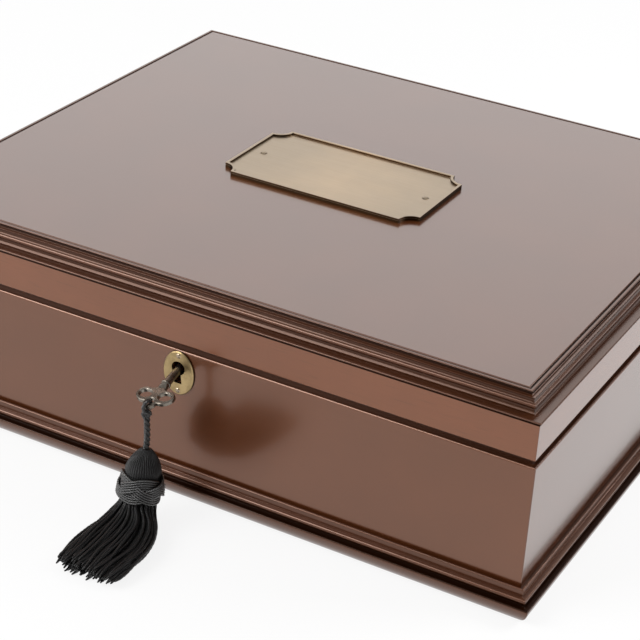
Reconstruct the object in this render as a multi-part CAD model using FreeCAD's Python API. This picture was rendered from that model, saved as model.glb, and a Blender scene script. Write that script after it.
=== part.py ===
import FreeCAD
import Part
import math
import os

# Lockable wooden keepsake box: mitred base on a moulded plinth, hinged lid with a
# moulded edge, brass nameplate and escutcheon, half-mortise lock, key and tassel.
# Millimetres, +Z up, +X to the right, the front faces -Y.
# The origin is the middle of the underside.

V = FreeCAD.Vector

# carcass
CARCASS_WIDTH = 343.6
CARCASS_DEPTH = 294.0
WALL = 13.0
RIM_HEIGHT = 76.0
RIM_LIP = 2.0
RIM_LEDGE = 2.6
RIM_EASE = 0.9
CORNER_ROUND = 0.4
FLOOR_THICKNESS = 6.0
FLOOR_SEAT = 6.0
FLOOR_FIT = 0.15
LINING_THICKNESS = 1.5
LINING_FIT = 0.3
FELT_THICKNESS = 1.2

# plinth moulding, planted round the foot of the carcass
PLINTH_OUT = 7.0
PLINTH_HEIGHT = 15.6
PLINTH_EDGE = 0.4
PLINTH_GROOVE_WIDTH = 1.3
PLINTH_GROOVE_DEPTH = 1.4
PLINTH_FILLET_OUT = 2.3
PLINTH_BEAD_OUT = 3.9
PLINTH_BEAD_FOOT = 9.9
PLINTH_BEAD_TOP = 12.0
PLINTH_BEAD_SWELL = 0.75
PLINTH_SHELF_HEIGHT = 8.8
PLINTH_ROUND_HEIGHT = 7.8
PLINTH_ROUND_IN = 5.0
PLINTH_ROUND_SWELL = 1.0

# lid rails and moulded top
SEAM_GAP = 0.2
LID_SETBACK = 0.9
LID_RAIL_HEIGHT = 18.4
LID_RAIL_ROUND = 0.9
LID_QUIRK_HEIGHT = 1.2
LID_QUIRK_DEPTH = 0.8
LID_TOP_THICKNESS = 9.1
LID_MOULDING_WIDTH = 11.1
LID_GROOVE_WIDTH = 1.3
LID_GROOVE_DEPTH = 0.7
LID_FILLET_WIDTH = 1.3
LID_FILLET_ROUND = 0.4
LID_STEP_DROP = 1.8
LID_ARRIS_OUT = 1.8
LID_FACE_HOLLOW = 0.4
LID_BEAD_DROP = 4.1
LID_BEAD_OUT = 2.2
LID_BEAD_SWELL = 0.8
LID_BEAD_FOOT = 6.2
LID_SHELF_DROP = 8.4
LID_SHELF_WIDTH = 5.0
LID_RISER_LEAN = 0.2
LID_RISER_SAG = 0.25
LID_NOSE_ROUND = 0.5

# butt hinges on the back, with the pin behind the seam
HINGE_FROM_END = 66.8
HINGE_LENGTH = 48.0
HINGE_LEAF_WIDTH = 11.0
HINGE_LEAF_THICKNESS = 1.6
HINGE_LEAF_FIT = 0.1
HINGE_BARREL_RADIUS = 2.5
HINGE_BARREL_CLEAR = 0.2
HINGE_KNUCKLES = 5
HINGE_KNUCKLE_GAP = 0.2
HINGE_PIN_RADIUS = 1.1
HINGE_PIN_FIT = 0.05
HINGE_FINIAL_RADIUS = 2.0
HINGE_SCREW_PITCH = 16.0

# countersunk wood screws
SCREW_HEAD_RADIUS = 2.3
SCREW_HEAD_HEIGHT = 1.4
SCREW_SHANK_RADIUS = 1.2
SCREW_LENGTH = 9.0
LOCK_SCREW_LENGTH = 7.5
SCREW_FIT = 0.05

# nameplate with hollow corners and a raised rim
PLATE_WIDTH = 108.0
PLATE_DEPTH = 61.0
PLATE_HEIGHT = 2.4
PLATE_FIELD = 1.3
PLATE_RIM = 1.3
PLATE_CORNER = 7.5
PLATE_PIN_SPREAD = 91.0
PLATE_PIN_HEAD = 1.8
PLATE_PIN_DOME = 0.7
PLATE_PIN_RADIUS = 0.9
PLATE_PIN_LENGTH = 5.0

# oval escutcheon and keyhole
KEYHOLE_DROP = 10.75
KEYHOLE_RADIUS = 3.4
KEYHOLE_SLOT_REACH = 7.6
KEYHOLE_SLOT_TOP = 2.2
KEYHOLE_SLOT_FOOT = 3.9
ESCUTCHEON_WIDTH = 15.9
ESCUTCHEON_HEIGHT = 21.9
ESCUTCHEON_BELOW = 2.6
ESCUTCHEON_THICKNESS = 1.2
ESCUTCHEON_BEVEL = 0.5
ESCUTCHEON_PIN_SPREAD = 17.6
ESCUTCHEON_PIN_HEAD = 1.25
ESCUTCHEON_PIN_DOME = 0.5
ESCUTCHEON_PIN_RADIUS = 0.6
ESCUTCHEON_PIN_LENGTH = 4.0

# half-mortise box lock
LOCK_DEPTH = 9.0
LOCK_SHEET = 1.0
LOCK_FIT = 0.1
LOCK_CASE_WIDTH = 50.0
LOCK_CASE_FOOT = 29.0
LOCK_FLANGE = 5.0
LOCK_PLATE_FOOT = 32.0
SELVEDGE_THICKNESS = 1.6
LOCK_SCREW_INSET = 2.5
LOCK_SCREW_RISE = 24.0

# sliding bolt with two hooks, and the staples on the lid that the hooks catch
BOLT_THICKNESS = 2.2
BOLT_TOP_GAP = 0.3
BOLT_BRIDGE = 1.4
BOLT_WING_HEIGHT = 4.4
BOLT_WING_LEFT = 9.057
BOLT_TALON_LEFT = 2.213
BOLT_TALON_RIGHT = 6.343
BOLT_LEG_WIDTH = 2.7
BOLT_BAR_HEIGHT = 3.0
BOLT_BAR_GAP = 0.5
BOLT_STEM_WIDTH = 2.0
BOLT_TRAVEL = 6.0
HOOK_HEIGHT = 2.2
HOOK_LENGTH = 4.5
HOOK_GAP = 0.743
STAPLE_LEFT = 15.0
STAPLE_RIGHT = 13.0
STAPLE_THICKNESS = 1.2
STAPLE_WIDTH = 5.4
STAPLE_REACH = 7.8
STAPLE_EYE_HEIGHT = 3.0
STAPLE_EYE_WIDTH = 3.0
STAPLE_EYE_FLOOR = 1.2
STAPLE_SLOT_FIT = 0.4
STRIKE_WIDTH = 56.0
STRIKE_DEPTH = 8.0
STRIKE_THICKNESS = 1.4
STRIKE_FIT = 0.1
STRIKE_SCREW_SPREAD = 46.0

# bowed leaf spring under the bolt
SPRING_THICKNESS = 0.4
SPRING_WIDTH = 2.0
SPRING_SPAN = 8.0
SPRING_BOW = 1.6
SPRING_CLEAR = 0.15
SPRING_POST_RADIUS = 1.2

# key: it hangs a little in its hole, and its bow is turned a little from level
KEY_DROOP = 15.0
KEY_TILT = 7.5
KEY_SHANK_RADIUS = 1.85
KEY_BIT_REACH = 5.0
KEY_BIT_WIDTH = 3.2
KEY_BIT_THICKNESS = 1.4
KEY_WARD_WIDTH = 0.8
KEY_WARD_DEPTH = 1.6
KEY_TIP = 0.4
KEY_COLLAR_AT = 12.6
KEY_COLLAR_WIDTH = 1.2
KEY_COLLAR_RADIUS = 2.3
KEY_COLLAR_ROUND = 0.4
KEY_NECK_RADIUS = 2.0
KEY_NECK_LENGTH = 4.8
KEY_NECK_HALF_WIDTH = 3.0
KEY_NECK_HALF_THICKNESS = 0.8

# bow outline, half of it: side and way along the key of each corner, then its swell
BOW_NECK_SIDE = 1.5
BOW_NECK_AT = 15.0
BOW_SHOULDER_SIDE = 5.0
BOW_SHOULDER_AT = 17.9
BOW_SHOULDER_SWELL = -1.12
BOW_LOBE_SIDE = 9.5
BOW_LOBE_AT = 23.0
BOW_LOBE_SWELL = 2.0
BOW_CUSP_SIDE = 3.2
BOW_CUSP_AT = 26.5
BOW_CUSP_SWELL = 1.2
BOW_THICKNESS = 2.2
BOW_EDGE = 0.4
BOW_EYE_AT = 21.9
BOW_EYE_SIDE = 5.1
BOW_EYE_HALF_WIDTH = 3.1
BOW_EYE_HALF_LENGTH = 2.5
BOW_RING_AT = 25.8
BOW_RING_HOLE = 1.8
BOW_RING_BAR = 2.1

# tassel on a short cord, its skirt swept forward over the table
LOOP_RADIUS = 2.5
LOOP_CORD_RADIUS = 0.9
KNOT_DROP = 3.75
KNOT_RADIUS = 2.15
KNOT_LENGTH = 5.0
KNOT_ROUND = 0.9
KNOT_CLEAR = 0.15
CORD_RADIUS = 1.55
CORD_LENGTH = 30.4
CORD_FIT = 0.1
HEAD_BELOW_KNOT = 17.95
HEAD_LEAN = 13.0
HEAD_NECK_RADIUS = 2.3
HEAD_RADIUS = 8.3
HEAD_SHOULDER = 9.5
HEAD_SWELL = 0.8
HEAD_LENGTH = 24.3
COLLAR_START = 11.3
COLLAR_LENGTH = 13.0
COLLAR_END_RADIUS = 9.4
COLLAR_SWELL = 1.1
COLLAR_FIT = 0.1
SKIRT_GAP = 0.1
SKIRT_FLOOR = 1.0
SKIRT_ROOT_FLATTEN = 0.2
# each section: across, forward of the collar, half width, half height, pitch
SKIRT_SECTIONS = [
    (2.8, 9.0, 13.3, 6.8, 55.0),
    (4.7, 23.0, 17.0, 4.6, 80.0),
    (4.1, 49.0, 16.2, 2.9, 87.0),
]

# places that follow from the sizes above
HALF_WIDTH = CARCASS_WIDTH / 2
HALF_DEPTH = CARCASS_DEPTH / 2
INNER_HALF_WIDTH = HALF_WIDTH - WALL
INNER_HALF_DEPTH = HALF_DEPTH - WALL
FLOOR_TOP = FELT_THICKNESS + FLOOR_THICKNESS
LID_FOOT = RIM_HEIGHT + SEAM_GAP
LID_TOP_FOOT = LID_FOOT + LID_RAIL_HEIGHT
LID_TOP = LID_TOP_FOOT + LID_TOP_THICKNESS
HINGE_Y = HALF_DEPTH + HINGE_BARREL_RADIUS + HINGE_BARREL_CLEAR
HINGE_Z = RIM_HEIGHT + SEAM_GAP / 2
KEYHOLE_Z = RIM_HEIGHT - KEYHOLE_DROP
ESCUTCHEON_Z = KEYHOLE_Z - ESCUTCHEON_BELOW
LOCK_PLATE_WIDTH = LOCK_CASE_WIDTH + 2 * LOCK_FLANGE
LOCK_BACK = -INNER_HALF_DEPTH
LOCK_FRONT = LOCK_BACK - LOCK_DEPTH
LOCK_MID = (LOCK_FRONT + LOCK_BACK) / 2
SELVEDGE_FOOT = RIM_HEIGHT - SELVEDGE_THICKNESS
BOLT_TOP = SELVEDGE_FOOT - BOLT_TOP_GAP
STAPLE_FOOT = LID_FOOT - STAPLE_REACH
EYE_FOOT = STAPLE_FOOT + STAPLE_EYE_FLOOR
HOOK_FOOT = EYE_FOOT + (STAPLE_EYE_HEIGHT - HOOK_HEIGHT) / 2
BAR_TOP = STAPLE_FOOT - BOLT_BAR_GAP
BAR_FOOT = BAR_TOP - BOLT_BAR_HEIGHT
SPRING_SEAT = BAR_FOOT - SPRING_CLEAR - SPRING_BOW - SPRING_THICKNESS
# the key's axis crosses the middle of the keyhole half way through the wood
KEY_DATUM = V(0, (LOCK_FRONT - HALF_DEPTH) / 2, KEYHOLE_Z)
DROOP = math.radians(KEY_DROOP)
KEY_AXIS = V(0, -math.cos(DROOP), -math.sin(DROOP))
LOOP_MIDDLE = KEY_DATUM + KEY_AXIS * (BOW_RING_AT + BOW_RING_HOLE + BOW_RING_BAR / 2)
KNOT = LOOP_MIDDLE - V(0, 0, KNOT_DROP)
HEAD_TOP = KNOT - V(0, 0, HEAD_BELOW_KNOT)
LEAN = math.radians(HEAD_LEAN)
HEAD_AXIS = V(0, -math.sin(LEAN), -math.cos(LEAN))

# a quarter circle stands this share of its radius off its chord
QUARTER = 1 - math.sqrt(0.5)
# degrees in the half turn that moves the bolt over its travel
HALF_TURN = 180.0
# cuts run this far past the faces that they open
PAST = 1.0
# room for blocks that only trim other solids
FAR = 40.0


def box(low, high):
    size = high - low
    return Part.makeBox(size.x, size.y, size.z, low)


def rod(radius, start, end):
    return Part.makeCylinder(radius, (end - start).Length, start, end - start)


def arc_to(u, v, swell):
    """Step of an outline that bends to the right of its chord by the swell."""
    return (u, v, swell)


def outline(start, steps, place):
    """Closed face from straight steps (u, v) and bent steps (u, v, swell)."""
    edges = []
    here = start
    for step in steps + [start]:
        u, v = step[:2]
        if len(step) == 3:
            run, rise = u - here[0], v - here[1]
            share = step[2] / math.hypot(run, rise)
            passed = ((u + here[0]) / 2 + rise * share, (v + here[1]) / 2 - run * share)
            edges.append(Part.Arc(place(*here), place(*passed), place(u, v)).toShape())
        else:
            edges.append(Part.makeLine(place(*here), place(u, v)))
        here = (u, v)
    return Part.Face(Part.Wire(edges))


def prism(points, place, along):
    wire = Part.makePolygon([place(*point) for point in points + points[:1]])
    return Part.Face(wire).extrude(along)


def mitred_run(start, steps, half_length, half_depth):
    """A moulding along the front, mitred at both ends; u is out from the face, v is up."""
    ends = half_length + FAR
    face = outline(start, steps, lambda u, v: V(-ends, -half_depth - u, v))
    run = face.extrude(V(2 * ends, 0, 0))
    corners = [
        (-half_length - FAR, -half_depth - FAR),
        (half_length + FAR, -half_depth - FAR),
        (half_length - FAR, -half_depth + FAR),
        (-half_length + FAR, -half_depth + FAR),
    ]
    wedge = prism(corners, lambda x, y: V(x, y, -FAR), V(0, 0, LID_TOP + 2 * FAR))
    return run.common(wedge)


def four_sides(start, steps):
    """The same mitred moulding on the four sides of the carcass."""
    sides = {}
    for turn, side in enumerate(("front", "right", "back", "left")):
        halves = (HALF_WIDTH, HALF_DEPTH) if turn % 2 == 0 else (HALF_DEPTH, HALF_WIDTH)
        piece = mitred_run(start, steps, *halves)
        piece.rotate(V(0, 0, 0), V(0, 0, 1), 90.0 * turn)
        sides[side] = piece
    return sides


def eased_corners(sides, inset):
    """The same sides with the four upright outer corners rounded."""
    corner = V(HALF_WIDTH - inset, HALF_DEPTH - inset, 0)
    block = box(corner * -1, corner + V(0, 0, LID_TOP))
    upright = [e for e in block.Edges if e.BoundBox.ZLength > WALL]
    block = block.makeFillet(CORNER_ROUND, upright)
    return {name: solid.common(block).removeSplitter() for name, solid in sides.items()}


def screw(at, into, length, grow=0.0):
    """Countersunk wood screw whose flat head ends at a point; grow gives its hole."""
    head = Part.makeCone(
        SCREW_HEAD_RADIUS + grow, SCREW_SHANK_RADIUS + grow, SCREW_HEAD_HEIGHT, at, into
    )
    return head.fuse(Part.makeCylinder(SCREW_SHANK_RADIUS + grow, length + grow, at, into))


def dome_pin(at, into, head, dome, radius, length):
    """Pin with a low domed head that sits on a face at a point."""
    ball = (head**2 + dome**2) / (2 * dome)
    cap = Part.makeSphere(ball, at + into * (ball - dome))
    cap = cap.common(Part.makeCylinder(head, dome, at, into * -1))
    return cap.fuse(Part.makeCylinder(radius, length, at, into))


def keyhole(front, back):
    """Round hole with a flared slot below it, cut along Y."""
    depth = V(0, back - front, 0)
    hole = Part.makeCylinder(KEYHOLE_RADIUS, depth.y, V(0, front, KEYHOLE_Z), V(0, 1, 0))
    foot = KEYHOLE_Z - KEYHOLE_SLOT_REACH
    top = KEYHOLE_SLOT_TOP / 2
    low = KEYHOLE_SLOT_FOOT / 2
    corners = [(-top, KEYHOLE_Z), (top, KEYHOLE_Z), (low, foot), (-low, foot)]
    return hole.fuse(prism(corners, lambda x, z: V(x, front, z), depth))


def base_walls():
    """Walls with an eased edge, a ledge and a lip above, rebated at the foot for the floor panel."""
    seat = FLOOR_SEAT - WALL
    seat_top = FLOOR_TOP + FLOOR_FIT
    ledge = RIM_HEIGHT - RIM_LIP
    steps = [
        (0, ledge - RIM_EASE),
        arc_to(-RIM_EASE, ledge, RIM_EASE * QUARTER),
        (-RIM_LEDGE, ledge),
        (-RIM_LEDGE, RIM_HEIGHT),
        (-WALL, RIM_HEIGHT),
        (-WALL, seat_top),
        (seat, seat_top),
        (seat, FELT_THICKNESS),
    ]
    return eased_corners(four_sides((0, FELT_THICKNESS), steps), 0)


def plinth():
    """Bold round at the foot, then shelf, bead, ledge and fillet, with a groove behind."""
    groove = PLINTH_HEIGHT - PLINTH_GROOVE_DEPTH
    steps = [
        (PLINTH_OUT - PLINTH_ROUND_IN, 0),
        arc_to(PLINTH_OUT, PLINTH_ROUND_HEIGHT, PLINTH_ROUND_SWELL),
        (PLINTH_OUT, PLINTH_SHELF_HEIGHT - PLINTH_EDGE),
        (PLINTH_OUT - PLINTH_EDGE, PLINTH_SHELF_HEIGHT),
        (PLINTH_BEAD_OUT, PLINTH_SHELF_HEIGHT),
        (PLINTH_BEAD_OUT, PLINTH_BEAD_FOOT),
        arc_to(PLINTH_BEAD_OUT, PLINTH_BEAD_TOP, PLINTH_BEAD_SWELL),
        (PLINTH_FILLET_OUT, PLINTH_BEAD_TOP),
        (PLINTH_FILLET_OUT, PLINTH_HEIGHT - PLINTH_EDGE),
        (PLINTH_FILLET_OUT - PLINTH_EDGE, PLINTH_HEIGHT),
        (PLINTH_GROOVE_WIDTH, PLINTH_HEIGHT),
        (PLINTH_GROOVE_WIDTH, groove),
        (0, groove),
    ]
    return four_sides((0, 0), steps)


def lid_rails():
    face = -LID_SETBACK
    steps = [
        (face - LID_RAIL_ROUND, LID_FOOT),
        arc_to(face, LID_FOOT + LID_RAIL_ROUND, LID_RAIL_ROUND * QUARTER),
        (face, LID_TOP_FOOT - LID_QUIRK_HEIGHT),
        (face - LID_QUIRK_DEPTH, LID_TOP_FOOT - LID_QUIRK_HEIGHT),
        (face - LID_QUIRK_DEPTH, LID_TOP_FOOT),
        (-WALL, LID_TOP_FOOT),
    ]
    return eased_corners(four_sides((-WALL, LID_FOOT), steps), LID_SETBACK)


def lid_top():
    """Flat panel with a moulded border: nosing, shelf, riser, bead, ledge, fillet and groove."""
    flat = -LID_MOULDING_WIDTH
    fillet = flat + LID_GROOVE_WIDTH
    edge = fillet + LID_FILLET_WIDTH
    bead = edge + LID_BEAD_OUT
    steps = [
        (0, LID_TOP_FOOT),
        (0, LID_TOP - LID_SHELF_DROP - LID_NOSE_ROUND),
        arc_to(-LID_NOSE_ROUND, LID_TOP - LID_SHELF_DROP, LID_NOSE_ROUND * QUARTER),
        (-LID_SHELF_WIDTH, LID_TOP - LID_SHELF_DROP),
        arc_to(bead + LID_RISER_LEAN, LID_TOP - LID_BEAD_FOOT, -LID_RISER_SAG),
        arc_to(bead, LID_TOP - LID_BEAD_DROP, LID_BEAD_SWELL),
        arc_to(edge + LID_ARRIS_OUT, LID_TOP - LID_STEP_DROP, -LID_FACE_HOLLOW),
        (edge, LID_TOP - LID_STEP_DROP),
        (edge, LID_TOP - LID_FILLET_ROUND),
        arc_to(edge - LID_FILLET_ROUND, LID_TOP, LID_FILLET_ROUND * QUARTER),
        (fillet, LID_TOP),
        ((flat + fillet) / 2, LID_TOP - LID_GROOVE_DEPTH),
        (flat, LID_TOP),
        (-WALL, LID_TOP),
    ]
    border = list(four_sides((-WALL, LID_TOP_FOOT), steps).values())
    inside = V(INNER_HALF_WIDTH, INNER_HALF_DEPTH, 0)
    panel = box(inside * -1 + V(0, 0, LID_TOP_FOOT), inside + V(0, 0, LID_TOP))
    return panel.fuse(border).removeSplitter()


def sheet(half_width, half_depth, foot, thickness):
    return box(V(-half_width, -half_depth, foot), V(half_width, half_depth, foot + thickness))


def floor_panel():
    reach = FLOOR_SEAT - FLOOR_FIT
    return sheet(INNER_HALF_WIDTH + reach, INNER_HALF_DEPTH + reach, FELT_THICKNESS, FLOOR_THICKNESS)


def lining(foot):
    return sheet(INNER_HALF_WIDTH - LINING_FIT, INNER_HALF_DEPTH - LINING_FIT, foot, LINING_THICKNESS)


def underside_felt():
    return sheet(HALF_WIDTH - LINING_FIT, HALF_DEPTH - LINING_FIT, 0, FELT_THICKNESS)


def plate_outline(inset, height):
    """Nameplate outline with a hollow quarter circle at each corner."""
    half_w = PLATE_WIDTH / 2
    half_d = PLATE_DEPTH / 2
    radius = PLATE_CORNER + inset
    reach = math.sqrt(radius**2 - inset**2)
    chord = math.hypot(reach - inset, reach - inset)
    sag = radius - math.sqrt(radius**2 - chord**2 / 4)
    points = []
    for sx, sy in ((1, -1), (1, 1), (-1, 1), (-1, -1)):
        along = (sx * (half_w - reach), sy * (half_d - inset))
        across = (sx * (half_w - inset), sy * (half_d - reach))
        first, last = (along, across) if sx * sy < 0 else (across, along)
        points += [first, arc_to(*last, -sag)]
    return outline(points[0], points[1:], lambda x, y: V(x, y, height))


def nameplate():
    plate = plate_outline(0, LID_TOP).extrude(V(0, 0, PLATE_HEIGHT))
    field = plate_outline(PLATE_RIM, LID_TOP + PLATE_FIELD).extrude(V(0, 0, PLATE_HEIGHT))
    return plate.cut(field)


def nameplate_pin_places():
    height = LID_TOP + PLATE_FIELD
    return [V(side * PLATE_PIN_SPREAD / 2, 0, height) for side in (-1, 1)]


def nameplate_pins():
    sizes = (PLATE_PIN_HEAD, PLATE_PIN_DOME, PLATE_PIN_RADIUS, PLATE_PIN_LENGTH)
    return [dome_pin(at, V(0, 0, -1), *sizes) for at in nameplate_pin_places()]


def nameplate_pin_holes():
    deep = V(0, 0, -PLATE_PIN_LENGTH - SCREW_FIT)
    return [rod(PLATE_PIN_RADIUS + SCREW_FIT, at, at + deep) for at in nameplate_pin_places()]


def escutcheon():
    """Oval plate with a bevelled edge on the front wall."""
    face = -HALF_DEPTH
    oval = Part.Ellipse(V(0, ESCUTCHEON_HEIGHT / 2, 0), V(ESCUTCHEON_WIDTH / 2, 0, 0), V(0, 0, 0))
    plate = Part.Face(Part.Wire(oval.toShape())).extrude(V(0, 0, ESCUTCHEON_THICKNESS))
    rim = [e for e in plate.Edges if e.BoundBox.ZMin > ESCUTCHEON_THICKNESS / 2]
    plate = plate.makeChamfer(ESCUTCHEON_BEVEL, rim)
    plate.rotate(V(0, 0, 0), V(1, 0, 0), 90)
    plate.translate(V(0, face, ESCUTCHEON_Z))
    return plate.cut(keyhole(face - ESCUTCHEON_THICKNESS - PAST, face + PAST))


def escutcheon_pin_places():
    front = -HALF_DEPTH - ESCUTCHEON_THICKNESS
    return [V(0, front, ESCUTCHEON_Z + side * ESCUTCHEON_PIN_SPREAD / 2) for side in (-1, 1)]


def escutcheon_pins():
    sizes = (ESCUTCHEON_PIN_HEAD, ESCUTCHEON_PIN_DOME, ESCUTCHEON_PIN_RADIUS, ESCUTCHEON_PIN_LENGTH)
    return [dome_pin(at, V(0, 1, 0), *sizes) for at in escutcheon_pin_places()]


def escutcheon_pin_holes():
    deep = V(0, ESCUTCHEON_PIN_LENGTH + SCREW_FIT, 0)
    return [rod(ESCUTCHEON_PIN_RADIUS + SCREW_FIT, at, at + deep) for at in escutcheon_pin_places()]


def hinge_leaf(x, leaf):
    """One leaf of the butt hinge centred at x, with its share of the knuckles."""
    low = x - HINGE_LENGTH / 2
    foot = RIM_HEIGHT - HINGE_LEAF_THICKNESS if leaf == "base" else LID_FOOT
    top = foot + HINGE_LEAF_THICKNESS
    clear = HINGE_Y - HINGE_BARREL_RADIUS - HINGE_BARREL_CLEAR
    plate = box(V(low, HALF_DEPTH - HINGE_LEAF_WIDTH, foot), V(low + HINGE_LENGTH, clear, top))
    pitch = HINGE_LENGTH / HINGE_KNUCKLES
    for count in range(0 if leaf == "base" else 1, HINGE_KNUCKLES, 2):
        start = V(low + count * pitch + HINGE_KNUCKLE_GAP / 2, HINGE_Y, HINGE_Z)
        end = start + V(pitch - HINGE_KNUCKLE_GAP, 0, 0)
        tongue = box(V(start.x, clear, foot), V(end.x, HINGE_Y, top))
        plate = plate.fuse([rod(HINGE_BARREL_RADIUS, start, end), tongue])
    bore_start = V(low - PAST, HINGE_Y, HINGE_Z)
    bore_end = V(low + HINGE_LENGTH + PAST, HINGE_Y, HINGE_Z)
    plate = plate.cut(rod(HINGE_PIN_RADIUS + HINGE_PIN_FIT, bore_start, bore_end))
    return plate.removeSplitter().cut(hinge_screws(x, leaf, SCREW_FIT))


def hinge_pin(x):
    """Pin with a small ball finial at each end of the barrel."""
    ends = [V(x + side * HINGE_LENGTH / 2, HINGE_Y, HINGE_Z) for side in (-1, 1)]
    pin = rod(HINGE_PIN_RADIUS, *ends)
    balls = [Part.makeSphere(HINGE_FINIAL_RADIUS, end) for end in ends]
    barrel = rod(HINGE_BARREL_RADIUS, *ends)
    return pin.fuse([ball.cut(barrel) for ball in balls])


def hinge_screws(x, leaf, grow=0.0):
    y = HALF_DEPTH - HINGE_LEAF_WIDTH / 2
    at_z, into = (RIM_HEIGHT, V(0, 0, -1)) if leaf == "base" else (LID_FOOT, V(0, 0, 1))
    places = [V(x + k * HINGE_SCREW_PITCH, y, at_z) for k in (-1, 0, 1)]
    return [screw(at, into, SCREW_LENGTH, grow) for at in places]


def hinge_mortise(x, leaf):
    half = HINGE_LENGTH / 2 + HINGE_LEAF_FIT
    inner = HALF_DEPTH - HINGE_LEAF_WIDTH - HINGE_LEAF_FIT
    outer = HALF_DEPTH + FAR
    deep = HINGE_LEAF_THICKNESS + HINGE_LEAF_FIT
    if leaf == "base":
        return box(V(x - half, inner, RIM_HEIGHT - deep), V(x + half, outer, RIM_HEIGHT + FAR))
    return box(V(x - half, inner, LID_FOOT - FAR), V(x + half, outer, LID_FOOT + deep))


def staple_blocks(grow=0.0):
    """The two staples as plain blocks; grow gives the slots that they drop through."""
    half = V(STAPLE_THICKNESS / 2 + grow, STAPLE_WIDTH / 2 + grow, 0)
    lows = [V(x, LOCK_MID, STAPLE_FOOT) for x in (-STAPLE_LEFT, STAPLE_RIGHT)]
    return [box(low - half, low + half + V(0, 0, STAPLE_REACH + STRIKE_THICKNESS)) for low in lows]


def strike_staples():
    eye = box(
        V(-HALF_WIDTH, LOCK_MID - STAPLE_EYE_WIDTH / 2, EYE_FOOT),
        V(HALF_WIDTH, LOCK_MID + STAPLE_EYE_WIDTH / 2, EYE_FOOT + STAPLE_EYE_HEIGHT),
    )
    return [block.cut(eye) for block in staple_blocks()]


def strike_block(grow, below):
    half = V(STRIKE_WIDTH / 2 + grow, STRIKE_DEPTH / 2 + grow, 0)
    middle = V(0, LOCK_MID, LID_FOOT)
    return box(middle - half - V(0, 0, below), middle + half + V(0, 0, STRIKE_THICKNESS + grow))


def strike_plate():
    return strike_block(0, 0).cut(staple_blocks() + strike_screws(SCREW_FIT))


def strike_screws(grow=0.0):
    places = [V(side * STRIKE_SCREW_SPREAD / 2, LOCK_MID, LID_FOOT) for side in (-1, 1)]
    return [screw(at, V(0, 0, 1), SCREW_LENGTH, grow) for at in places]


def lock_case():
    """Sheet-metal box, open at the back, that fills the mortise behind the keyhole."""
    half = LOCK_CASE_WIDTH / 2
    foot = RIM_HEIGHT - LOCK_CASE_FOOT
    back = LOCK_BACK - LOCK_SHEET
    front = LOCK_FRONT + LOCK_SHEET
    case = box(V(-half, LOCK_FRONT, foot), V(half, back, SELVEDGE_FOOT))
    inside = box(
        V(-half + LOCK_SHEET, front, foot + LOCK_SHEET),
        V(half - LOCK_SHEET, back + PAST, SELVEDGE_FOOT + PAST),
    )
    post = V(STAPLE_RIGHT, front, SPRING_SEAT - SPRING_POST_RADIUS)
    case = case.cut(inside).fuse(rod(SPRING_POST_RADIUS, post, V(post.x, back, post.z)))
    return case.removeSplitter().cut(keyhole(LOCK_FRONT - PAST, front + PAST))


def lock_plate():
    """Back plate flush with the inner wall, with the selvedge turned over the rim."""
    half = LOCK_PLATE_WIDTH / 2
    foot = RIM_HEIGHT - LOCK_PLATE_FOOT
    plate = box(V(-half, LOCK_BACK - LOCK_SHEET, foot), V(half, LOCK_BACK, RIM_HEIGHT))
    top = box(V(-half, LOCK_FRONT, SELVEDGE_FOOT), V(half, LOCK_BACK, RIM_HEIGHT))
    slots = staple_blocks(STAPLE_SLOT_FIT)
    return plate.fuse(top).removeSplitter().cut(slots + lock_screws(SCREW_FIT))


def lock_screws(grow=0.0):
    x = LOCK_PLATE_WIDTH / 2 - LOCK_SCREW_INSET
    low = RIM_HEIGHT - LOCK_PLATE_FOOT + LOCK_SCREW_INSET
    places = [V(sx * x, LOCK_BACK, z) for sx in (-1, 1) for z in (low, low + LOCK_SCREW_RISE)]
    return [screw(at, V(0, -1, 0), LOCK_SCREW_LENGTH, grow) for at in places]


def lock_mortise():
    """Room in the front wall for the case, the plate and the selvedge."""
    case = LOCK_CASE_WIDTH / 2 + LOCK_FIT
    plate = LOCK_PLATE_WIDTH / 2 + LOCK_FIT
    front = LOCK_FRONT - LOCK_FIT
    far = V(0, LOCK_BACK + FAR, RIM_HEIGHT + FAR)
    case_foot = RIM_HEIGHT - LOCK_CASE_FOOT - LOCK_FIT
    plate_foot = RIM_HEIGHT - LOCK_PLATE_FOOT - LOCK_FIT
    room = box(V(-case, front, case_foot), far + V(case, 0, 0))
    back = box(V(-plate, LOCK_BACK - LOCK_SHEET - LOCK_FIT, plate_foot), far + V(plate, 0, 0))
    lip = box(V(-plate, front, SELVEDGE_FOOT - LOCK_FIT), far + V(plate, 0, 0))
    return room.fuse([back, lip])


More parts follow.
